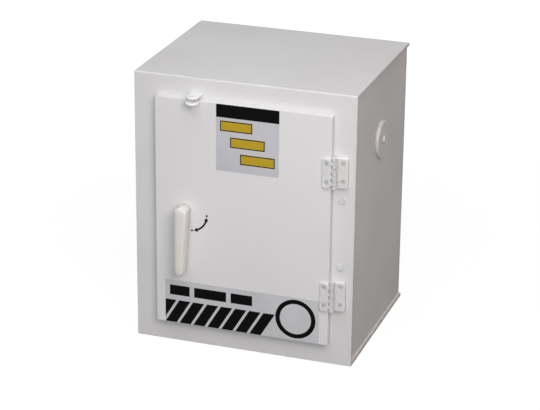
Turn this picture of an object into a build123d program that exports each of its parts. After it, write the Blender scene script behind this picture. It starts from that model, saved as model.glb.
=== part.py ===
from build123d import *
import os

# Bench-top cabinet for corrosive liquids: a welded box of white plastic sheet with one overlay
# door on two plastic hinges, a turning lever latch, a padlock eye, a plugged side vent and a
# lift-out shelf. Millimetres. The origin is the centre of the base's underside, +X right,
# +Y back, +Z up; the door faces -Y.

# Welded body
cabinet_width = 368.0
cabinet_depth = 298.0
cabinet_height = 457.0
sheet = 5.0  # wall thickness
lip = 3.0  # top, base and front panel stand this far proud of the side and back walls
front_top_round = 3.0
sheet_edge_round = 0.8
bead_rise = 4.5  # weld bead, up the side wall

# Door, an overlay slab hung in front of the front panel
door_left_margin = 39.5
door_right_margin = 36.0
door_top_margin = 33.4
door_bottom_margin = 36.7
door_thickness = 12.0
door_gap = 0.4  # door's back to the front panel
door_corner = 3.0
door_edge_round = 0.8
door_overlap = 12.0  # the door covers the opening's edge by this much
opening_corner = 8.0

# Hinges, offset type: a door leaf on the door's face and a frame leaf on the front panel
hinge_height = 50.8
upper_hinge_inset = 92.9  # hinge centre below the door's top
lower_hinge_inset = 85.2  # hinge centre above the door's bottom
hinge_axis_reach = 4.6  # axis to the right of the door's edge
barrel_radius = 4.0
barrel_proud = 0.5  # in front of the door leaf's face
knuckle_count = 9
knuckle_gap = 0.4
leaf_thickness = 3.2
frame_leaf_thickness = 6.6
leaf_clearance = 0.5  # leaf's edge to the other leaf's barrel
leaf_corner = 4.5
leaf_edge_round = 1.2
door_leaf_width = 14.7
frame_leaf_width = 24.4
pin_radius = 2.0
pin_clearance = 0.05
pin_head_radius = 3.4
pin_head_height = 1.4

# Hinge screws, sunk in the leaves
screw_head_radius = 3.0
screw_head_height = 1.4
screw_head_round = 0.5
screw_head_clearance = 0.2
screw_recess = 0.4  # head's top below the leaf's face
screw_shank_radius = 1.75
screw_clearance = 0.05
screw_spacing = 31.0
screw_lift = 1.5  # above the hinge's middle
screw_slot_width = 0.9
screw_slot_depth = 0.7
door_screw_inset = 7.6  # from the door leaf's free edge
frame_screw_inset = 8.0  # from the frame leaf's free edge
door_screw_length = 11.0

# Strip behind the front panel that takes the hinge screws, and its two buttons
strip_width = 22.0
strip_thickness = 8.0
strip_overrun = 15.0  # past the hinges
button_radius = 6.5
button_height = 1.6
button_round = 1.2
button_shift = 2.6  # left of the frame screws
button_shank_radius = 3.0
upper_button_drop = 47.3  # below the upper hinge's centre
lower_button_rise = 48.6  # above the lower hinge's centre

# Padlock eye: one lug on the front panel, one on the door
lug_inset = 65.3  # from the door's left edge
lug_width = 21.0
frame_lug_reach = 27.5  # in front of the front panel
door_lug_reach = 30.5
lug_thickness = 5.0
lug_gap = 4.4  # above the door's top
lug_edge_round = 2.0
padlock_hole_radius = 4.5
padlock_hole_stand = 20.0  # in front of the front panel

# Latch: lever outside, tongue inside, turning in a bush in the door
latch_inset = 50.3  # from the door's left edge
latch_rise = 201.9  # above the door's bottom
handle_stand = 40.0  # lever's face in front of the front panel
handle_length = 118.6
handle_hub_radius = 10.7
handle_tip_radius = 7.4
handle_tip_shift = 3.0  # the lever hangs a little to the left
handle_crown_radius = 50.0
handle_thickness = 19.0
handle_post_radius = 9.2
handle_face_round = 5.0
handle_back_round = 2.0
handle_line_inset = 5.2  # groove round the lever's side, behind its face
handle_line_width = 1.4
handle_line_depth = 0.8
turn_clearance = 0.3
shaft_radius = 6.0
shaft_clearance = 0.05
square_drive = 8.0  # across flats
drive_clearance = 0.1
drive_depth = 16.0  # square end inside the handle
bush_wall = 2.5
bush_flange_radius = 13.0
bush_flange_thickness = 2.0
tongue_reach = 50.0
tongue_hub_radius = 13.0
tongue_tip_radius = 9.0
tongue_thickness = 6.0
tongue_clearance = 0.8  # behind the front panel
spacer_radius = 10.0
thread_radius = 3.6
thread_clearance = 0.1
thread_end = 1.5  # past the nut
washer_radius = 9.0
washer_thickness = 1.5
nut_across_flats = 13.0
nut_height = 7.0

# Vent in the right wall, with a push-in plug
vent_from_front = 146.0
vent_drop = 118.0  # below the cabinet's top
vent_radius = 25.4
collar_wall = 10.0
collar_length = 6.0
plug_radius = 31.0
plug_rim = 3.6
plug_height = 5.6
plug_face_radius = 28.8
plug_dish_radius = 26.0
plug_dish_depth = 0.3
plug_wall = 3.0
plug_clearance = 0.3
plug_overrun = 2.0  # spigot past the collar
plug_boss_radius = 7.5
plug_boss_tip_radius = 5.5
plug_boss_height = 3.2

# Lift-out shelf on two bearers
shelf_level_share = 0.48
shelf_front_gap = 48.0  # behind the front panel, room for the latch
shelf_floor = 5.0
shelf_rim_height = 16.0
shelf_rim = 4.0
shelf_side_gap = 1.5
shelf_seat_gap = 0.3
shelf_back_gap = 2.0
shelf_inner_corner = 2.0
bearer_width = 10.0
bearer_height = 12.0

# Adhesive labels and the turn arrow
label_thickness = 0.3
label_corner = 1.5
label_edge_inset = 0.9  # inside the door's rounded edge
upper_label_width = 104.0
upper_label_height = 110.0
upper_label_shift = 8.7  # right of the door's middle
lower_label_margin = 15.2  # to the door's edges
lower_label_height = 75.0
arrow_shift_x = 9.1  # arc's centre from the latch's axis
arrow_shift_z = -7.4
arrow_radius = 27.7
arrow_line = 3.0
arrow_head_radius = 4.2
arrow_dot_radius = 1.7
arrow_low_angle = -70.0
arrow_high_angle = -14.0
arrow_dot_angle = 15.0  # past each end of the arc

# Places worked out from the sizes above
front = Plane.XZ.offset(cabinet_depth / 2)
front_y = -cabinet_depth / 2
side_outer = cabinet_width / 2 - lip
side_inner = side_outer - sheet
back_outer = cabinet_depth / 2 - lip
back_inner = back_outer - sheet
wall_front = front_y + sheet
wall_height = cabinet_height - 2 * sheet
side_depth = back_inner - wall_front
side_middle = (back_inner + wall_front) / 2
cover_depth = cabinet_depth - sheet

door_left = -cabinet_width / 2 + door_left_margin
door_right = cabinet_width / 2 - door_right_margin
door_top = cabinet_height - door_top_margin
door_bottom = door_bottom_margin
door_width = door_right - door_left
door_height = door_top - door_bottom
door_x = (door_left + door_right) / 2
door_z = (door_top + door_bottom) / 2
door_face = door_gap + door_thickness
opening_width = door_width - 2 * door_overlap
opening_height = door_height - 2 * door_overlap
lower_label_width = door_width - 2 * lower_label_margin

upper_hinge_z = door_top - upper_hinge_inset
lower_hinge_z = door_bottom + lower_hinge_inset
axis_x = door_right + hinge_axis_reach
leaf_face = door_face + leaf_thickness
axis_stand = leaf_face + barrel_proud - barrel_radius
axis_y = front_y - axis_stand
knuckle_pitch = hinge_height / knuckle_count
knuckle_height = knuckle_pitch - knuckle_gap
pin_bore_radius = pin_radius + pin_clearance
frame_leaf_left = axis_x - barrel_radius
frame_leaf_right = frame_leaf_left + frame_leaf_width
door_leaf_right = axis_x - barrel_radius - leaf_clearance
door_leaf_left = door_leaf_right - door_leaf_width
web_left = door_leaf_right - leaf_corner

screw_hole_radius = screw_shank_radius + screw_clearance
frame_screw_x = frame_leaf_right - frame_screw_inset
door_screw_x = door_leaf_left + door_screw_inset
hinge_levels = (upper_hinge_z, lower_hinge_z)
screw_steps = (screw_lift - screw_spacing / 2, screw_lift + screw_spacing / 2)
frame_screw_points = [(frame_screw_x, z + step) for z in hinge_levels for step in screw_steps]
door_screw_points = [(door_screw_x, z + step) for z in hinge_levels for step in screw_steps]
screw_bore_radius = screw_head_radius + screw_head_clearance
screw_sink = screw_recess + screw_head_height
frame_screw_length = frame_leaf_thickness - screw_sink + sheet + strip_thickness
door_screw_hole_depth = door_screw_length - (leaf_thickness - screw_sink)
button_x = frame_screw_x - button_shift
button_points = [
    (button_x, upper_hinge_z - upper_button_drop),
    (button_x, lower_hinge_z + lower_button_rise),
]
button_hole_radius = button_shank_radius + screw_clearance

lug_x = door_left + lug_inset
lug_level = door_top + lug_gap

latch_x = door_left + latch_inset
latch_z = door_bottom + latch_rise
handle_tip_z = latch_z + handle_hub_radius - handle_length + handle_tip_radius
handle_back = handle_stand - handle_thickness
hub_back = door_face + turn_clearance
handle_tip_x = latch_x - handle_tip_shift
crown_x = (latch_x + handle_tip_x) / 2
crown_y = front_y - handle_stand + handle_crown_radius
crown_base = handle_tip_z - 2 * handle_tip_radius
handle_line_stand = handle_stand - handle_line_inset
bush_radius = shaft_radius + bush_wall
bush_inner = door_gap - bush_flange_thickness
spacer_outer = bush_inner - turn_clearance
tongue_front = -sheet - tongue_clearance
tongue_back = tongue_front - tongue_thickness
washer_back = tongue_back - washer_thickness
nut_back = washer_back - nut_height
drive_hole = square_drive + 2 * drive_clearance
thread_hole_radius = thread_radius + thread_clearance

vent_y = front_y + vent_from_front
vent_z = cabinet_height - vent_drop

shelf_z = sheet + wall_height * shelf_level_share
shelf_width = 2 * side_inner - 2 * shelf_side_gap
shelf_corner = shelf_inner_corner + shelf_rim
shelf_depth = back_inner - shelf_back_gap - wall_front - shelf_front_gap
shelf_y = back_inner - shelf_back_gap - shelf_depth / 2
tray_width = shelf_width - 2 * shelf_rim
tray_depth = shelf_depth - 2 * shelf_rim
bearer_z = shelf_z - bearer_height


def save(piece, name):
    piece.part.label = name
    export_step(piece.part, f"parts/{name}.step")


def knuckle_base(hinge_z, index):
    return hinge_z - hinge_height / 2 + index * knuckle_pitch + knuckle_gap / 2


os.makedirs("parts", exist_ok=True)

# Top and base panels, behind the front panel
with BuildPart() as top_panel:
    with BuildSketch(Plane.XY.offset(cabinet_height - sheet)):
        with Locations((0, sheet / 2)):
            Rectangle(cabinet_width, cover_depth)
    extrude(amount=sheet)
    outline = top_panel.faces().sort_by(Axis.Z)[-1].outer_wire().edges()
    fillet(outline.sort_by(Axis.Y)[1:], sheet_edge_round)
save(top_panel, "top_panel")

with BuildPart() as base_panel:
    with BuildSketch(Plane.XY):
        with Locations((0, sheet / 2)):
            Rectangle(cabinet_width, cover_depth)
    extrude(amount=sheet)
    outline = base_panel.faces().sort_by(Axis.Z)[-1].outer_wire().edges()
    fillet(outline.sort_by(Axis.Y)[1:], sheet_edge_round)
save(base_panel, "base_panel")

# Back wall, behind the side walls
with BuildPart() as back_panel:
    with BuildSketch(Plane.XZ.offset(-back_outer)):
        with Locations((0, cabinet_height / 2)):
            Rectangle(2 * side_outer, wall_height)
    extrude(amount=sheet)
save(back_panel, "back_panel")

# Side walls, the right one with the vent hole
with BuildPart() as left_side_panel:
    with BuildSketch(Plane.YZ.offset(-side_outer)):
        with Locations((side_middle, cabinet_height / 2)):
            Rectangle(side_depth, wall_height)
    extrude(amount=sheet)
save(left_side_panel, "left_side_panel")

with BuildPart() as right_side_panel:
    with BuildSketch(Plane.YZ.offset(side_inner)):
        with Locations((side_middle, cabinet_height / 2)):
            Rectangle(side_depth, wall_height)
        with Locations((vent_y, vent_z)):
            Circle(vent_radius, mode=Mode.SUBTRACT)
    extrude(amount=sheet)
save(right_side_panel, "right_side_panel")

# Front panel with the door opening; its high sill makes the cabinet's floor a sump
with BuildPart() as front_frame:
    with BuildSketch(front):
        with Locations((0, cabinet_height / 2)):
            Rectangle(cabinet_width, cabinet_height)
        with Locations((door_x, door_z)):
            RectangleRounded(opening_width, opening_height, opening_corner, mode=Mode.SUBTRACT)
        with Locations(*frame_screw_points):
            Circle(screw_hole_radius, mode=Mode.SUBTRACT)
        with Locations(*button_points):
            Circle(button_hole_radius, mode=Mode.SUBTRACT)
    extrude(amount=-sheet)
    outline = front_frame.faces().sort_by(Axis.Y)[0].outer_wire().edges()
    fillet(outline.sort_by(Axis.Z)[-1:], front_top_round)
    outline = front_frame.faces().sort_by(Axis.Y)[0].outer_wire().edges()
    fillet(outline.filter_by(Axis.Z), sheet_edge_round)
save(front_frame, "front_frame")

# Weld beads in the corners between the side walls and the lips of the top and base
for side, side_name in ((-1, "left"), (1, "right")):
    for level, rise, level_name in (
        (sheet, bead_rise, "base"),
        (cabinet_height - sheet, -bead_rise, "top"),
    ):
        with BuildPart() as weld_bead:
            with BuildSketch(Plane.XZ.offset(-wall_front)):
                with BuildLine():
                    root = (side * side_outer, level)
                    toe = (side * (side_outer + lip - sheet_edge_round), level)
                    crest = (side * side_outer, level + rise)
                    Polyline(crest, root, toe)
                    Line(toe, crest)
                make_face()
            extrude(amount=-(back_outer - wall_front))
        save(weld_bead, f"{side_name}_{level_name}_weld_bead")

# Door slab
with BuildPart() as door_panel:
    with BuildSketch(front.offset(door_gap)):
        with Locations((door_x, door_z)):
            RectangleRounded(door_width, door_height, door_corner)
        with Locations((latch_x, latch_z)):
            Circle(bush_radius + shaft_clearance, mode=Mode.SUBTRACT)
    extrude(amount=door_thickness)
    fillet(door_panel.faces().sort_by(Axis.Y)[0].outer_wire().edges(), door_edge_round)
    with BuildSketch(front.offset(door_face)):
        with Locations(*door_screw_points):
            Circle(screw_hole_radius)
    extrude(amount=-door_screw_hole_depth, mode=Mode.SUBTRACT)
save(door_panel, "door_panel")

# Hinges
for hinge_name, hinge_z in (("upper", upper_hinge_z), ("lower", lower_hinge_z)):
    with BuildPart() as frame_leaf:
        with BuildSketch(front):
            with Locations(((frame_leaf_left + frame_leaf_right) / 2, hinge_z)):
                RectangleRounded(frame_leaf_width, hinge_height, leaf_corner)
        extrude(amount=frame_leaf_thickness)
        fillet(frame_leaf.faces().sort_by(Axis.Y)[0].outer_wire().edges(), leaf_edge_round)
        for index in range(0, knuckle_count, 2):
            with BuildSketch(Plane.XY.offset(knuckle_base(hinge_z, index))):
                with Locations((axis_x, axis_y)):
                    Circle(barrel_radius)
                with Locations((axis_x, (axis_y + front_y) / 2)):
                    Rectangle(2 * barrel_radius, axis_stand)
            extrude(amount=knuckle_height)
        with BuildSketch(Plane.XY.offset(hinge_z - hinge_height / 2)):
            with Locations((axis_x, axis_y)):
                Circle(pin_bore_radius)
        extrude(amount=hinge_height, mode=Mode.SUBTRACT)
        with BuildSketch(front.offset(frame_leaf_thickness)):
            with Locations(*[(frame_screw_x, hinge_z + step) for step in screw_steps]):
                Circle(screw_bore_radius)
        extrude(amount=-screw_sink, mode=Mode.SUBTRACT)
        with BuildSketch(front.offset(frame_leaf_thickness)):
            with Locations(*[(frame_screw_x, hinge_z + step) for step in screw_steps]):
                Circle(screw_hole_radius)
        extrude(amount=-frame_leaf_thickness, mode=Mode.SUBTRACT)
    save(frame_leaf, f"{hinge_name}_hinge_frame_leaf")

    with BuildPart() as door_leaf:
        with BuildSketch(front.offset(door_face)):
            with Locations(((door_leaf_left + door_leaf_right) / 2, hinge_z)):
                RectangleRounded(door_leaf_width, hinge_height, leaf_corner)
        extrude(amount=leaf_thickness)
        fillet(door_leaf.faces().sort_by(Axis.Y)[0].outer_wire().edges(), leaf_edge_round)
        for index in range(1, knuckle_count, 2):
            with BuildSketch(Plane.XY.offset(knuckle_base(hinge_z, index))):
                with Locations((axis_x, axis_y)):
                    Circle(barrel_radius)
                with Locations(((web_left + axis_x) / 2, front_y - (door_face + leaf_face) / 2)):
                    Rectangle(axis_x - web_left, leaf_thickness)
            extrude(amount=knuckle_height)
        with BuildSketch(Plane.XY.offset(hinge_z - hinge_height / 2)):
            with Locations((axis_x, axis_y)):
                Circle(pin_bore_radius)
        extrude(amount=hinge_height, mode=Mode.SUBTRACT)
        with BuildSketch(front.offset(leaf_face)):
            with Locations(*[(door_screw_x, hinge_z + step) for step in screw_steps]):
                Circle(screw_bore_radius)
        extrude(amount=-screw_sink, mode=Mode.SUBTRACT)
        with BuildSketch(front.offset(leaf_face)):
            with Locations(*[(door_screw_x, hinge_z + step) for step in screw_steps]):
                Circle(screw_hole_radius)
        extrude(amount=-leaf_thickness, mode=Mode.SUBTRACT)
    save(door_leaf, f"{hinge_name}_hinge_door_leaf")

    with BuildPart() as hinge_pin:
        with BuildSketch(Plane.XY.offset(knuckle_base(hinge_z, 0))):
            with Locations((axis_x, axis_y)):
                Circle(pin_radius)
        extrude(amount=hinge_height - knuckle_gap)
        with BuildSketch(Plane.XY.offset(hinge_z + hinge_height / 2 - knuckle_gap / 2)):
            with Locations((axis_x, axis_y)):
                Circle(pin_head_radius)
        extrude(amount=pin_head_height)
        rim = hinge_pin.edges().filter_by(GeomType.CIRCLE).sort_by(Axis.Z)[-1]
        fillet(rim, pin_head_height / 2)
    save(hinge_pin, f"{hinge_name}_hinge_pin")

# Slotted hinge screws
for name, points, seat, length in (
    ("frame_leaf_screws", frame_screw_points, frame_leaf_thickness - screw_sink, frame_screw_length),
    ("door_leaf_screws", door_screw_points, leaf_face - screw_sink, door_screw_length),
):
    with BuildPart() as screws:
        with BuildSketch(front.offset(seat)):
            with Locations(*points):
                Circle(screw_head_radius)
        extrude(amount=screw_head_height)
        fillet(screws.edges().filter_by(GeomType.CIRCLE).group_by(Axis.Y)[0], screw_head_round)
        with BuildSketch(front.offset(seat)):
            with Locations(*points):
                Circle(screw_shank_radius)
        extrude(amount=-length)
        with BuildSketch(front.offset(seat + screw_head_height)):
            with Locations(*points):
                Rectangle(2 * screw_head_radius, screw_slot_width)
        extrude(amount=-screw_slot_depth, mode=Mode.SUBTRACT)
    save(screws, name)

# Strip behind the front panel for the hinge screws, held by two buttons
with BuildPart() as hinge_backing_strip:
    with BuildSketch(front.offset(-sheet)):
        strip_height = upper_hinge_z - lower_hinge_z + hinge_height + 2 * strip_overrun
        with Locations((frame_screw_x, (upper_hinge_z + lower_hinge_z) / 2)):
            Rectangle(strip_width, strip_height)
        with Locations(*frame_screw_points):
            Circle(screw_hole_radius, mode=Mode.SUBTRACT)
        with Locations(*button_points):
            Circle(button_hole_radius, mode=Mode.SUBTRACT)
    extrude(amount=-strip_thickness)
save(hinge_backing_strip, "hinge_backing_strip")

with BuildPart() as strip_buttons:
    with BuildSketch(front):
        with Locations(*button_points):
            Circle(button_radius)
    extrude(amount=button_height)
    fillet(strip_buttons.edges().filter_by(GeomType.CIRCLE).group_by(Axis.Y)[0], button_round)
    with BuildSketch(front):
        with Locations(*button_points):
            Circle(button_shank_radius)
    extrude(amount=-(sheet + strip_thickness))
save(strip_buttons, "strip_buttons")

# Padlock eye: upper lug on the front panel, lower lug level with the door's top
for name, level, root, reach in (
    ("frame_lock_lug", lug_level, 0, frame_lug_reach),
    ("door_lock_lug", door_top - lug_thickness, door_face, door_lug_reach),
):
    with BuildPart() as lock_lug:
        with BuildSketch(Plane.XY.offset(level)):
            with BuildLine():
                left = lug_x - lug_width / 2
                right = lug_x + lug_width / 2
                shoulder = max(root, reach - lug_width / 2)
                root_left = (left, front_y - root)
                root_right = (right, front_y - root)
                shoulder_left = (left, front_y - shoulder)
                shoulder_right = (right, front_y - shoulder)
                tip = (lug_x, front_y - reach)
                ThreePointArc(shoulder_left, tip, shoulder_right)
                if shoulder > root:
                    Line(shoulder_right, root_right)
                    Line(shoulder_left, root_left)
                Line(root_left, root_right)
            make_face()
            with Locations((lug_x, front_y - padlock_hole_stand)):
                Circle(padlock_hole_radius, mode=Mode.SUBTRACT)
        extrude(amount=lug_thickness)
        rim = lock_lug.edges().filter_by(GeomType.CIRCLE).group_by(SortBy.RADIUS)[-1]
        fillet(rim, lug_edge_round)
    save(lock_lug, name)

# Latch lever, with a post down to the door
with BuildPart() as latch_handle:
    with BuildSketch(front.offset(handle_back)):
        with Locations((latch_x, latch_z)):
            Circle(handle_hub_radius)
        with Locations((handle_tip_x, handle_tip_z)):
            Circle(handle_tip_radius)
        make_hull()
    extrude(amount=handle_thickness)
    fillet(latch_handle.faces().sort_by(Axis.Y)[0].outer_wire().edges(), handle_face_round)
    fillet(latch_handle.faces().sort_by(Axis.Y)[-1].outer_wire().edges(), handle_back_round)
    with BuildSketch(Plane.XY.offset(crown_base)):
        with Locations((crown_x, crown_y)):
            Circle(handle_crown_radius)
    extrude(amount=2 * handle_length, mode=Mode.INTERSECT)
    with BuildSketch(front.offset(handle_line_stand)):
        for growth, mode in ((handle_line_depth, Mode.ADD), (-handle_line_depth, Mode.SUBTRACT)):
            with BuildSketch(mode=mode):
                with Locations((latch_x, latch_z)):
                    Circle(handle_hub_radius + growth)
                with Locations((handle_tip_x, handle_tip_z)):
                    Circle(handle_tip_radius + growth)
                make_hull()
    extrude(amount=-handle_line_width, mode=Mode.SUBTRACT)
    with BuildSketch(front.offset(hub_back)):
        with Locations((latch_x, latch_z)):
            Circle(handle_post_radius)
    extrude(amount=handle_back - hub_back + handle_back_round)
    with BuildSketch(front.offset(hub_back)):
        with Locations((latch_x, latch_z)):
            Rectangle(drive_hole, drive_hole)
    extrude(amount=drive_depth, mode=Mode.SUBTRACT)
save(latch_handle, "latch_handle")

# Latch shaft: square drive for the lever, round journal, square drive for the tongue, thread
with BuildPart() as latch_shaft:
    with BuildSketch(front.offset(hub_back)):
        with Locations((latch_x, latch_z)):
            Rectangle(square_drive, square_drive)
    extrude(amount=drive_depth - drive_clearance)
    with BuildSketch(front.offset(spacer_outer)):
        with Locations((latch_x, latch_z)):
            Circle(shaft_radius)
    extrude(amount=hub_back - spacer_outer)
    with BuildSketch(front.offset(tongue_back)):
        with Locations((latch_x, latch_z)):
            Rectangle(square_drive, square_drive)
    extrude(amount=spacer_outer - tongue_back)
    with BuildSketch(front.offset(nut_back - thread_end)):
        with Locations((latch_x, latch_z)):
            Circle(thread_radius)
    extrude(amount=tongue_back - nut_back + thread_end)
save(latch_shaft, "latch_shaft")

# Flanged bush in the door
with BuildPart() as latch_bush:
    with BuildSketch(front.offset(door_gap)):
        with Locations((latch_x, latch_z)):
            Circle(bush_radius)
    extrude(amount=door_thickness)
    with BuildSketch(front.offset(bush_inner)):
        with Locations((latch_x, latch_z)):
            Circle(bush_flange_radius)
    extrude(amount=bush_flange_thickness)
    with BuildSketch(front.offset(bush_inner)):
        with Locations((latch_x, latch_z)):
            Circle(shaft_radius + shaft_clearance)
    extrude(amount=door_thickness + bush_flange_thickness, mode=Mode.SUBTRACT)
save(latch_bush, "latch_bush")

# Spacer, tongue, washer and nut on the inner end of the shaft
with BuildPart() as latch_spacer:
    with BuildSketch(front.offset(spacer_outer)):
        with Locations((latch_x, latch_z)):
            Circle(spacer_radius)
            Rectangle(drive_hole, drive_hole, mode=Mode.SUBTRACT)
    extrude(amount=tongue_front - spacer_outer)
save(latch_spacer, "latch_spacer")

with BuildPart() as latch_tongue:
    with BuildSketch(front.offset(tongue_front)):
        with Locations((latch_x, latch_z)):
            Circle(tongue_hub_radius)
        with Locations((latch_x, latch_z + tongue_reach - tongue_tip_radius)):
            Circle(tongue_tip_radius)
        make_hull()
        with Locations((latch_x, latch_z)):
            Rectangle(drive_hole, drive_hole, mode=Mode.SUBTRACT)
    extrude(amount=-tongue_thickness)
save(latch_tongue, "latch_tongue")

with BuildPart() as latch_washer:
    with BuildSketch(front.offset(tongue_back)):
        with Locations((latch_x, latch_z)):
            Circle(washer_radius)
            Circle(thread_hole_radius, mode=Mode.SUBTRACT)
    extrude(amount=-washer_thickness)
save(latch_washer, "latch_washer")

with BuildPart() as latch_nut:
    with BuildSketch(front.offset(washer_back)):
        with Locations((latch_x, latch_z)):
            RegularPolygon(nut_across_flats / 2, 6, major_radius=False)
            Circle(thread_hole_radius, mode=Mode.SUBTRACT)
    extrude(amount=-nut_height)
save(latch_nut, "latch_nut")

# Vent collar inside the right wall
with BuildPart() as vent_collar:
    with BuildSketch(Plane.YZ.offset(side_inner)):
        with Locations((vent_y, vent_z)):
            Circle(vent_radius + collar_wall)
            Circle(vent_radius, mode=Mode.SUBTRACT)
    extrude(amount=-collar_length)
save(vent_collar, "vent_collar")

# Vent plug, turned about the vent's axis: hollow spigot, dished disc and a small boss
plug_origin = (side_outer + plug_clearance, vent_y, vent_z)
plug_seat = Plane(origin=plug_origin, x_dir=(1, 0, 0), z_dir=(0, -1, 0))
with BuildPart() as vent_plug:
    with BuildSketch(plug_seat):
        with BuildLine():
            spigot_radius = vent_radius - plug_clearance
            spigot_end = -(plug_clearance + sheet + collar_length + plug_overrun)
            dish = plug_height - plug_dish_depth
            boss_end = dish + plug_boss_height
            rim = (plug_rim, plug_radius)
            face_edge = (plug_height, plug_face_radius)
            Polyline(
                face_edge,
                (plug_height, plug_dish_radius),
                (dish, plug_dish_radius - plug_dish_depth),
                (dish, plug_boss_radius),
                (boss_end, plug_boss_tip_radius),
                (boss_end, 0),
                (0, 0),
                (0, spigot_radius - plug_wall),
                (spigot_end, spigot_radius - plug_wall),
                (spigot_end, spigot_radius),
                (0, spigot_radius),
                (0, plug_radius),
                rim,
            )
            EllipticalCenterArc(
                (plug_rim, plug_face_radius),
                plug_height - plug_rim,
                plug_radius - plug_face_radius,
                start_angle=0,
                arc_size=90,
            )
        make_face()
    revolve(axis=Axis(plug_seat.origin, plug_seat.x_dir))
save(vent_plug, "vent_plug")

# Shelf bearers and the tray shelf that lies on them
for side, side_name in ((-1, "left"), (1, "right")):
    with BuildPart() as shelf_bearer:
        with BuildSketch(Plane.XY.offset(bearer_z)):
            with Locations((side * (side_inner - bearer_width / 2), shelf_y)):
                Rectangle(bearer_width, shelf_depth)
        extrude(amount=bearer_height)
    save(shelf_bearer, f"{side_name}_shelf_bearer")

with BuildPart() as shelf:
    with BuildSketch(Plane.XY.offset(shelf_z + shelf_seat_gap)):
        with Locations((0, shelf_y)):
            RectangleRounded(shelf_width, shelf_depth, shelf_corner)
    extrude(amount=shelf_rim_height)
    with BuildSketch(Plane.XY.offset(shelf_z + shelf_seat_gap + shelf_floor)):
        with Locations((0, shelf_y)):
            RectangleRounded(tray_width, tray_depth, shelf_inner_corner)
    extrude(amount=shelf_rim_height, mode=Mode.SUBTRACT)
save(shelf, "shelf")

# Adhesive labels on the door
upper_label_z = door_top - label_edge_inset - upper_label_height / 2
lower_label_z = door_bottom + label_edge_inset + lower_label_height / 2
for name, x, z, width, height in (
    ("upper_label", door_x + upper_label_shift, upper_label_z, upper_label_width, upper_label_height),
    ("lower_label", door_x, lower_label_z, lower_label_width, lower_label_height),
):
    with BuildPart() as label:
        with BuildSketch(front.offset(door_face)):
            with Locations((x, z)):
                RectangleRounded(width, height, label_corner)
        extrude(amount=label_thickness)
    save(label, name)

# Turn arrow beside the lever: an arc with a head at each end and a dot past each head
arrow_middle = (latch_x + arrow_shift_x, latch_z + arrow_shift_z)
with BuildPart() as arrow_decal:
    with BuildSketch(front.offset(door_face)):
        with BuildLine():
            CenterArc(arrow_middle, arrow_radius, arrow_low_angle, arrow_high_angle - arrow_low_angle)
        trace(line_width=arrow_line)
        with Locations(arrow_middle):
            for end_angle, turn in ((arrow_low_angle, -1), (arrow_high_angle, 1)):
                with PolarLocations(arrow_radius, 1, start_angle=end_angle):
                    RegularPolygon(arrow_head_radius, 3, rotation=turn * 90)
                with PolarLocations(arrow_radius, 1, start_angle=end_angle + turn * arrow_dot_angle):
                    Circle(arrow_dot_radius)
    extrude(amount=label_thickness)
save(arrow_decal, "arrow_decal")
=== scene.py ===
import bpy
import bmesh
import math
from mathutils import Matrix, Vector


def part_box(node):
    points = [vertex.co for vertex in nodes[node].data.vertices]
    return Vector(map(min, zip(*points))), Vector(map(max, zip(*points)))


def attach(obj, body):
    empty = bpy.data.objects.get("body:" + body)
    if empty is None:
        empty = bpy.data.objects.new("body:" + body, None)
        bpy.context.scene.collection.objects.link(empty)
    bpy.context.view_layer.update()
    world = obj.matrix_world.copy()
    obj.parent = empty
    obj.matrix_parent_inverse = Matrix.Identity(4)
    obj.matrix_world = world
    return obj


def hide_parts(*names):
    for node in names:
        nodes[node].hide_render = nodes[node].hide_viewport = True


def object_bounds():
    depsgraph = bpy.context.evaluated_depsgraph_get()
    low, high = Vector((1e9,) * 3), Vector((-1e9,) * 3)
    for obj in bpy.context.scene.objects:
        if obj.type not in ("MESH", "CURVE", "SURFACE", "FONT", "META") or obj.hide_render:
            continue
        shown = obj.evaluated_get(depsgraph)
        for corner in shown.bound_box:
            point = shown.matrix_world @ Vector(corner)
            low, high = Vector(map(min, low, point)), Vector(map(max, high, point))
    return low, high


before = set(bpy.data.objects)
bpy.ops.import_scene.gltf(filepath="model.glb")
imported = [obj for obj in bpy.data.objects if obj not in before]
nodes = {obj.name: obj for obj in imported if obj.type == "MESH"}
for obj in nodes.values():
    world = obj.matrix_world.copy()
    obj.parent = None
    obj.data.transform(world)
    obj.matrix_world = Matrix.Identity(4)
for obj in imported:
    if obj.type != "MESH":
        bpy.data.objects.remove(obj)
cadLow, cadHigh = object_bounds()


class Val:
    # one socket that works in plain Python maths

    def __init__(self, tree, socket):
        self.tree = tree
        self.socket = socket

    def calc(self, operation, *parts):
        maths = self.tree.nodes.new("ShaderNodeMath")
        maths.operation = operation
        for slot, part in zip(maths.inputs, parts):
            plug(self.tree, slot, part)
        return Val(self.tree, maths.outputs[0])

    def __add__(self, other):
        return self.calc("ADD", self, other)

    def __sub__(self, other):
        return self.calc("SUBTRACT", self, other)

    def __rsub__(self, other):
        return self.calc("SUBTRACT", other, self)

    def __mul__(self, other):
        return self.calc("MULTIPLY", self, other)

    def __truediv__(self, other):
        return self.calc("DIVIDE", self, other)

    def __mod__(self, other):
        return self.calc("FLOORED_MODULO", self, other)

    def __abs__(self):
        return self.calc("ABSOLUTE", self)

    def __lt__(self, other):
        return self.calc("LESS_THAN", self, other)

    def __gt__(self, other):
        return self.calc("GREATER_THAN", self, other)

    __radd__ = __add__
    __rmul__ = __mul__

    def least(self, other):
        return self.calc("MINIMUM", self, other)

    def most(self, other):
        return self.calc("MAXIMUM", self, other)

    def root(self):
        return self.calc("SQRT", self)

    def held(self):
        return self.most(0.0).least(1.0)  # kept from 0 to 1

    def ease(self, low, high):
        share = ((self - low) / (high - low)).held()
        return share * share * (3.0 - 2.0 * share)


def plug(tree, slot, part):
    if isinstance(part, Val):
        tree.links.new(part.socket, slot)
    elif slot.type == "RGBA" and len(part) == 3:
        slot.default_value = (*part, 1.0)
    else:
        slot.default_value = part


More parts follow.
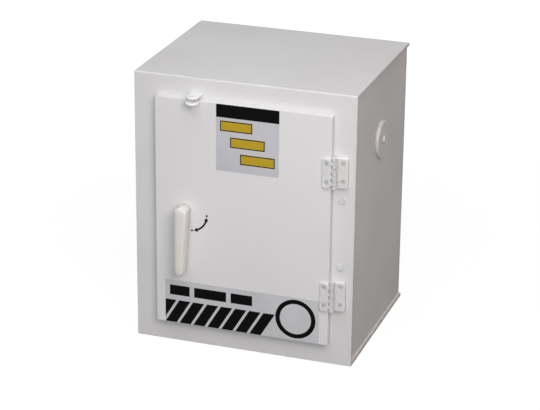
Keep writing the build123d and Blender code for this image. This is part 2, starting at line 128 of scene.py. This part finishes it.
class Tree:
    # the nodes of a material or world; every node but a maths node is made by node()

    def __init__(self, owner):
        owner.use_nodes = True
        self.tree = owner.node_tree
        self.tree.nodes.clear()

    def node(self, kind, settings, inputs, output=0):
        made = self.tree.nodes.new("ShaderNode" + kind)
        for name, value in settings.items():
            setattr(made, name, value)
        for name, value in inputs.items():
            plug(self.tree, made.inputs[name], value)
        return Val(self.tree, made.outputs[output]) if made.outputs else None

    def looked(self):
        # 1 where the camera, a reflection or glass looks straight at the surface
        seen, mirrored, through = (
            self.node("LightPath", {}, {}, ray)
            for ray in ("Is Camera Ray", "Is Glossy Ray", "Is Transmission Ray")
        )
        return seen.most(mirrored).most(through)


class Finish(Tree):
    # one material, with the place on the part as x, y and z in metres

    def __init__(self, name):
        self.material = bpy.data.materials.new(name)
        super().__init__(self.material)
        self.spot = self.node("TexCoord", {}, {}, "Object")
        self.x, self.y, self.z = (self.node("SeparateXYZ", {}, {0: self.spot}, way) for way in "XYZ")

    def noise(self, scale, detail=2.0, roughness=0.5, where=None):
        inputs = {"Vector": where or self.spot, "Scale": scale, "Detail": detail, "Roughness": roughness}
        return self.node("TexNoise", {}, inputs)

    def stretched(self, amounts):
        return self.node("VectorMath", {"operation": "MULTIPLY"}, {0: self.spot, 1: amounts})

    def mix(self, share, first, second):
        return self.node("Mix", {"data_type": "RGBA"}, {0: share, 6: first, 7: second}, 2)

    def bump(self, height, strength, distance, under=None):
        inputs = {"Height": height, "Strength": strength, "Distance": distance}
        if under:
            inputs["Normal"] = under
        return self.node("Bump", {}, inputs)

    def surface(self, inputs):
        shader = self.node("BsdfPrincipled", {}, inputs)
        self.node("OutputMaterial", {}, {"Surface": shader})
        return self.material


def paint(name, material):
    piece = nodes[name]
    piece.data.materials.clear()
    piece.data.materials.append(material)


# White plastic: two close tones in soft clouds, fine grain, faint scratches, and a band of its own tone
# along the edges, which is painted shade on the body sheets, base and door
def plastic(name, look, box=None):
    fin = Finish(name)
    clouds = fin.noise(look["cloudScale"], detail=3.0)
    specks = fin.noise(look["grainScale"], detail=2.0, roughness=0.6)
    tone = fin.mix(clouds.ease(*look["cloudSpan"]), look["tone"], look["otherTone"])
    tone = fin.mix(specks.ease(*look["speckSpan"]) * look["speckShare"], tone, look["speckTone"])
    lines = fin.noise(look["scratchScale"], detail=1.0, where=fin.stretched(look["scratchRun"]))
    patches = fin.noise(look["cloudScale"] * look["patchFineness"], detail=2.0)
    scratches = 1.0 - (abs(lines - 0.5) / look["scratchWidth"]).held()
    scratches = scratches * patches.ease(*look["patchSpan"])
    rough = look["rough"] + (clouds - 0.5) * look["roughSpread"] + scratches * look["scratchRough"]
    if box:
        # edge band in patches: painted shade darkening the edges on the body sheets, base and door; a
        # paler edge on the hinge leaves and inner sheets
        edgeToneBand = fin.noise(look["edgePatchScale"], detail=3.0).ease(*look["edgePatchSpan"])
        edgeToneBand = edgeBand(fin, box, look["edgeWidth"]) * edgeToneBand
        tone = fin.mix(edgeToneBand * look["edgeShare"], tone, look["edgeTone"])
        rough = rough + edgeToneBand * look["edgePatchRough"]
    waves = fin.bump(fin.noise(look["waveScale"], detail=2.0), look["waveBump"], look["waveDepth"])
    grain = fin.bump(specks, look["grainBump"], look["grainDepth"], waves)
    normal = fin.bump(scratches, look["scratchBump"], look["scratchDepth"], grain)
    return fin.surface({
        "Base Color": tone,
        "Roughness": rough,
        "Normal": normal,
        "Specular IOR Level": look["sheen"],
        "Subsurface Weight": look["glow"],
        "Subsurface Radius": look["glowTint"],
        "Subsurface Scale": look["glowDepth"],
    })


# how near a point is to the outer edges of a flat panel, along its two long ways
def edgeBand(fin, box, width):
    low, high = box
    ways = sorted(range(3), key=lambda way: high[way] - low[way])[1:]
    spots = (fin.x, fin.y, fin.z)
    gaps = []
    for way in ways:
        half = (high[way] - low[way]) / 2
        middle = (high[way] + low[way]) / 2
        gaps.append(half - abs(spots[way] - middle))
    return 1.0 - gaps[0].least(gaps[1]).ease(0.0, width)


bodySheet = {
    "tone": (0.742, 0.738, 0.744),
    "otherTone": (0.708, 0.70, 0.70),
    "cloudScale": 6.0,
    "cloudSpan": (0.3, 0.7),
    "speckTone": (0.66, 0.65, 0.62),
    "speckShare": 0.10,
    "speckSpan": (0.62, 0.78),
    "grainScale": 900.0,
    "grainBump": 0.10,
    "grainDepth": 0.0004,
    "scratchScale": 22.0,
    "scratchRun": (5.0, 1.0, 1.4),
    "scratchWidth": 0.012,
    "scratchRough": 0.12,
    "scratchBump": 0.06,
    "scratchDepth": 0.0002,
    "patchFineness": 2.3,  # scratched patches, against the clouds
    "patchSpan": (0.5, 0.64),
    # edge band darker than the sheet: painted shade dimming the highlight on the rounded edges, in patches
    "edgeTone": (0.62, 0.615, 0.62),
    "edgeShare": 0.45,
    "edgeWidth": 0.003,
    "edgePatchScale": 60.0,
    "edgePatchSpan": (0.35, 0.62),
    "edgePatchRough": 0.1,
    "waveScale": 14.0,
    "waveBump": 0.05,
    "waveDepth": 0.002,
    "rough": 0.46,
    "roughSpread": 0.16,
    "sheen": 0.06,
    "glow": 0.0,  # light that soaks into the plastic
    "glowDepth": 0.004,
    "glowTint": (1.0, 0.97, 0.92),
}
for name in ("top_panel", "back_panel", "left_side_panel", "right_side_panel", "front_frame"):
    paint(name, plastic("sheet_" + name, bodySheet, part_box(name)))

innerSheet = dict(bodySheet, edgeTone=(0.79, 0.785, 0.79), edgeShare=0.3)  # edges paler than the faces
for name in ("hinge_backing_strip", "left_shelf_bearer", "right_shelf_bearer", "vent_collar", "shelf"):
    paint(name, plastic("sheet_" + name, innerSheet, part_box(name)))

baseSheet = dict(bodySheet, edgeTone=(0.50, 0.48, 0.48), edgeShare=0.9)  # painted shade darkening the base panel's edges and the outer faces of its lips
paint("base_panel", plastic("sheet_base_panel", baseSheet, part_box("base_panel")))
print("body sheets painted")

# door sheet: toned lighter than the body sheets, in part as painted light, with painted shade along its
# edges
doorSlab = dict(bodySheet, tone=(0.79, 0.785, 0.79), otherTone=(0.765, 0.758, 0.76), cloudScale=5.0,
                edgeTone=(0.75, 0.745, 0.75), edgeShare=0.3, scratchRun=(1.2, 1.0, 5.0))
paint("door_panel", plastic("door_slab", doorSlab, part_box("door_panel")))

hingePlastic = dict(bodySheet, tone=(0.785, 0.782, 0.788), otherTone=(0.765, 0.76, 0.762), cloudScale=30.0,
                    grainScale=1600.0, rough=0.45, roughSpread=0.1, edgeTone=(0.80, 0.80, 0.80),
                    edgeShare=0.2, edgeWidth=0.0015, sheen=0.2, glow=1.0, glowDepth=0.005)
# frame leaves: a darker copy of the hinge plastic, which is painted shade
shadedFrameLeafPlastic = dict(hingePlastic, tone=(0.755, 0.75, 0.755), otherTone=(0.735, 0.73, 0.732))
for level in ("upper", "lower"):
    for leaf, look in (("frame_leaf", shadedFrameLeafPlastic), ("door_leaf", hingePlastic)):
        name = level + "_hinge_" + leaf
        paint(name, plastic(name + "_plastic", look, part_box(name)))

fastenerPlastic = dict(hingePlastic, tone=(0.68, 0.68, 0.675), otherTone=(0.64, 0.64, 0.635), rough=0.42)
fastenerFinish = plastic("fastener_plastic", fastenerPlastic)
for name in ("upper_hinge_pin", "lower_hinge_pin", "frame_leaf_screws", "door_leaf_screws",
             "latch_washer", "latch_nut"):
    paint(name, fastenerFinish)

lugPlastic = dict(hingePlastic, tone=(0.85, 0.85, 0.855), otherTone=(0.83, 0.83, 0.835), rough=0.34)
lugFinish = plastic("lug_plastic", lugPlastic)
for name in ("frame_lock_lug", "door_lock_lug", "strip_buttons"):
    paint(name, lugFinish)

handlePlastic = dict(hingePlastic, tone=(0.80, 0.78, 0.73), otherTone=(0.78, 0.755, 0.70), rough=0.33,
                     cloudScale=18.0, grainBump=0.05, glowDepth=0.02)
handleFinish = plastic("handle_plastic", handlePlastic)
for name in ("latch_handle", "latch_shaft", "latch_spacer", "latch_tongue", "latch_bush"):
    paint(name, handleFinish)

plugPlastic = dict(hingePlastic, tone=(0.69, 0.675, 0.68), otherTone=(0.665, 0.65, 0.655), rough=0.4)
paint("vent_plug", plastic("plug_plastic", plugPlastic))
print("hardware painted")


# Printed films: u and v run from 0 to 1 across the film
def film(name, look, node):
    fin = Finish(name)
    low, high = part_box(node)
    fin.u = (fin.x - low.x) / (high.x - low.x)
    fin.v = (fin.z - low.z) / (high.z - low.z)
    fin.wide = (high.x - low.x) / (high.z - low.z)
    clouds = fin.noise(look["cloudScale"], detail=3.0)
    fin.ground = fin.mix(clouds.ease(*look["cloudSpan"]), look["film"], look["otherFilm"])
    fin.rough = look["rough"] + (clouds - 0.5) * look["roughSpread"]
    fin.relief = fin.bump(fin.noise(look["reliefScale"], detail=2.0), look["relief"], look["reliefDepth"])
    return fin


def block(fin, left, right, bottom, top):
    return (fin.u > left) * (fin.u < right) * (fin.v > bottom) * (fin.v < top)


def printFilm(fin, ground, look):
    return fin.surface({
        "Base Color": ground,
        "Roughness": fin.rough,
        "Normal": fin.relief,
        "Specular IOR Level": look["sheen"],
    })


vinyl = {
    "cloudScale": 14.0,
    "cloudSpan": (0.3, 0.7),
    "rough": 0.4,
    "roughSpread": 0.12,
    "reliefScale": 220.0,
    "relief": 0.05,
    "reliefDepth": 0.0004,
    "sheen": 0.03,
    "ink": (0.004, 0.0037, 0.0035),
}

upperLabel = dict(
    vinyl,
    film=(0.60, 0.60, 0.63),
    otherFilm=(0.55, 0.55, 0.58),
    accent=(0.52, 0.36, 0.025),
    headerBottom=0.805,
    bars=((0.08, 0.56, 0.68), (0.24, 0.76, 0.44), (0.40, 0.92, 0.20)),  # left, right, middle height
    barHalf=0.062,
    outline=0.016,
)


def barPrint(fin, look):
    ground = fin.ground
    edge = look["outline"]
    half = look["barHalf"]
    for left, right, middle in look["bars"]:
        rim = block(fin, left - edge, right + edge, middle - half - edge, middle + half + edge)
        ground = fin.mix(rim, ground, look["ink"])
        ground = fin.mix(block(fin, left, right, middle - half, middle + half), ground, look["accent"])
    return fin.mix(fin.v > look["headerBottom"], ground, look["ink"])


fin = film("upper_label_film", upperLabel, "upper_label")
paint("upper_label", printFilm(fin, barPrint(fin, upperLabel), upperLabel))

lowerLabel = dict(
    vinyl,
    film=(0.63, 0.63, 0.65),
    otherFilm=(0.58, 0.58, 0.60),
    stripeTop=0.53,
    stripeCount=7,
    stripePitch=0.322,  # in film heights, as the lean and the ring are
    stripeShare=0.80,
    stripeLean=0.60,
    dashes=((0.03, 0.16), (0.19, 0.40), (0.43, 0.57)),  # left, right
    dashBottom=0.65,
    dashTop=0.88,
    ringMiddle=(2.97, 0.5),
    ringRadius=0.40,
    ringLine=0.10,
)


def stripePrint(fin, look):
    across = fin.u * fin.wide
    along = across - fin.v * look["stripeLean"]
    pitch = look["stripePitch"]
    stripes = (along % pitch) < pitch * look["stripeShare"]
    stripes = stripes * (along < pitch * look["stripeCount"]) * (fin.v < look["stripeTop"])
    ground = fin.mix(stripes, fin.ground, look["ink"])
    for left, right in look["dashes"]:
        dash = block(fin, left, right, look["dashBottom"], look["dashTop"])
        ground = fin.mix(dash, ground, look["ink"])
    sideways = across - look["ringMiddle"][0]
    upward = fin.v - look["ringMiddle"][1]
    fromMiddle = (sideways * sideways + upward * upward).root()
    ring = abs(fromMiddle - look["ringRadius"]) < look["ringLine"] / 2
    return fin.mix(ring, ground, look["ink"])


fin = film("lower_label_film", lowerLabel, "lower_label")
paint("lower_label", printFilm(fin, stripePrint(fin, lowerLabel), lowerLabel))

turnArrow = dict(vinyl, film=(0.008, 0.008, 0.008), otherFilm=(0.014, 0.013, 0.012), rough=0.45)
fin = film("decal_ink", turnArrow, "arrow_decal")
paint("arrow_decal", printFilm(fin, fin.ground, turnArrow))
print("labels printed")


# Weld beads: rows of small curved ripples along the joint
weldBead = {
    "ripple": 0.0024,  # from one ripple to the next
    "depth": 0.00018,
    "bulge": 0.0002,
    "rise": 0.68,  # share of the corner that the bead fills, up the wall
    "arc": 0.5,  # how far a ripple's middle runs ahead, in ripples
    "rippleSteps": 6,
    "rowSteps": 8,
}


def weldRow(node, look):
    low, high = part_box(node)
    right = node.startswith("right")
    atBase = "base" in node
    rootX, toeX = (low.x, high.x) if right else (high.x, low.x)
    rootZ, crestZ = (low.z, high.z) if atBase else (high.z, low.z)
    root, toe = Vector((rootX, 0, rootZ)), Vector((toeX, 0, rootZ))
    crest = root + Vector((0, 0, crestZ - rootZ)) * look["rise"]
    outward = ((toe + crest) / 2 - root).normalized()
    length = high.y - low.y
    rings = round(length / look["ripple"] * look["rippleSteps"])
    mesh = bmesh.new()
    rows = []
    for ring in range(rings + 1):
        y = low.y + length * ring / rings
        row = [mesh.verts.new((root.x, y, root.z))]
        for step in range(look["rowSteps"] + 1):
            share = step / look["rowSteps"]
            swell = math.sin(math.pi * share)
            phase = y / look["ripple"] + look["arc"] * swell
            wave = math.cos(2 * math.pi * phase) * look["depth"] * swell
            place = toe.lerp(crest, share) + outward * (look["bulge"] * swell + wave)
            row.append(mesh.verts.new((place.x, y, place.z)))
        rows.append(row)
    for row, nextRow in zip(rows, rows[1:]):
        for this in range(len(row)):
            after = (this + 1) % len(row)
            mesh.faces.new((row[this], row[after], nextRow[after], nextRow[this]))
    mesh.faces.new(rows[0])
    mesh.faces.new(reversed(rows[-1]))
    bmesh.ops.recalc_face_normals(mesh, faces=mesh.faces)
    data = bpy.data.meshes.new(node + "_ripples")
    mesh.to_mesh(data)
    mesh.free()
    for face in data.polygons:
        face.use_smooth = len(face.vertices) == 4
    piece = bpy.data.objects.new(node + "_ripples", data)
    bpy.context.scene.collection.objects.link(piece)
    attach(piece, "cabinet")
    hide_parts(node)
    return piece


weldPlastic = dict(bodySheet, tone=(0.73, 0.73, 0.725), cloudScale=40.0, rough=0.36)
weldFinish = plastic("weld_plastic", weldPlastic)
for side in ("left", "right"):
    for level in ("base", "top"):
        weldRow(side + "_" + level + "_weld_bead", weldBead).data.materials.append(weldFinish)
print("weld beads laid")

# Floor: white to the camera, but it keeps the cabinet's soft shadow
floorLook = {
    "size": 16.0,
    "tone": (0.14, 0.14, 0.14),
    "near": (0.91, 0.91, 0.91),
    "far": (1.0, 1.0, 1.0),
    "reach": (0.4, 2.0),
}
bpy.ops.mesh.primitive_plane_add(size=floorLook["size"], location=(0, 0, cadLow.z))
floor = bpy.context.object
floor.name = "floor"
fin = Finish("floor_paper")
matte = fin.node("BsdfDiffuse", {}, {"Color": floorLook["tone"]})
away = (fin.x * fin.x + fin.y * fin.y).root().ease(*floorLook["reach"])
shine = fin.mix(away, floorLook["near"], floorLook["far"])
white = fin.node("Emission", {}, {"Color": shine, "Strength": 1.0})
lifted = fin.node("AddShader", {}, {0: matte, 1: white})
paper = fin.node("MixShader", {}, {0: fin.looked(), 1: matte, 2: lifted})
fin.node("OutputMaterial", {}, {"Surface": paper})
floor.data.materials.append(fin.material)

# Room light: soft and even, white where it is looked at
roomLight = {"ambient": 0.19, "tone": (1.0, 0.93, 0.89), "backdrop": (1.0, 1.0, 1.0)}
world = bpy.data.worlds.new("studio")
bpy.context.scene.world = world
room = Tree(world)
ambient = room.node("Background", {}, {"Color": roomLight["tone"], "Strength": roomLight["ambient"]})
backdrop = room.node("Background", {}, {"Color": roomLight["backdrop"], "Strength": 1.0})
sky = room.node("MixShader", {}, {0: room.looked(), 1: ambient, 2: backdrop})
room.node("OutputWorld", {}, {"Surface": sky})


def softbox(name, look):
    lamp = bpy.data.lights.new(name, "AREA")
    lamp.shape = "RECTANGLE"
    lamp.size, lamp.size_y = look["size"]
    lamp.energy = look["watts"]
    lamp.color = look["tone"]
    holder = bpy.data.objects.new(name, lamp)
    bpy.context.scene.collection.objects.link(holder)
    holder.location = look["place"]
    aim = Vector(look["aim"]) - holder.location
    holder.rotation_euler = aim.to_track_quat("-Z", "Y").to_euler()


keyLight = {"place": (0.3, -2.4, 0.7), "aim": (0.0, 0.0, 0.25), "size": (1.2, 1.2), "watts": 16.8,
            "tone": (0.895, 0.925, 1.0)}
softbox("key_softbox", keyLight)
topLight = {"place": (0.1, -0.8, 2.1), "aim": (0.0, 0.0, 0.25), "size": (1.6, 1.6), "watts": 18.6,
            "tone": (0.89, 0.93, 1.0)}
softbox("top_softbox", topLight)
sideLight = {"place": (1.2, -1.6, 1.5), "aim": (0.0, 0.0, 0.25), "size": (0.9, 0.9), "watts": 21.5,
             "tone": (1.0, 0.92, 0.83)}
softbox("side_softbox", sideLight)
backLight = {"place": (-1.7, 1.6, 0.26), "aim": (0.0, 0.0, 0.24), "size": (1.6, 0.38), "watts": 30.0,
             "tone": (1.0, 0.98, 0.96)}
softbox("back_softbox", backLight)
print("lights set")

# Camera at the photograph's angle
cameraLook = {
    "place": (1.0068, -2.9987, 1.4503),
    "azimuth": 18.66,
    "elevation": 21.59,
    "roll": 0.594,
    "lens": 136.65,
    "sensor": 36.0,
}
lens = bpy.data.cameras.new("photo_camera")
lens.lens = cameraLook["lens"]
lens.sensor_width = cameraLook["sensor"]
camera = bpy.data.objects.new("photo_camera", lens)
bpy.context.scene.collection.objects.link(camera)
turn, lift, roll = (math.radians(cameraLook[key]) for key in ("azimuth", "elevation", "roll"))
behind = Vector((math.sin(turn) * math.cos(lift), -math.cos(turn) * math.cos(lift), math.sin(lift)))
across = Vector((0, 0, 1)).cross(behind).normalized()
upward = behind.cross(across)
tiltedAcross = across * math.cos(roll) + upward * math.sin(roll)
tiltedUp = upward * math.cos(roll) - across * math.sin(roll)
camera.matrix_world = Matrix((
    (tiltedAcross.x, tiltedUp.x, behind.x, cameraLook["place"][0]),
    (tiltedAcross.y, tiltedUp.y, behind.y, cameraLook["place"][1]),
    (tiltedAcross.z, tiltedUp.z, behind.z, cameraLook["place"][2]),
    (0, 0, 0, 1),
))
bpy.context.scene.camera = camera
bpy.context.scene.view_settings.view_transform = "Standard"
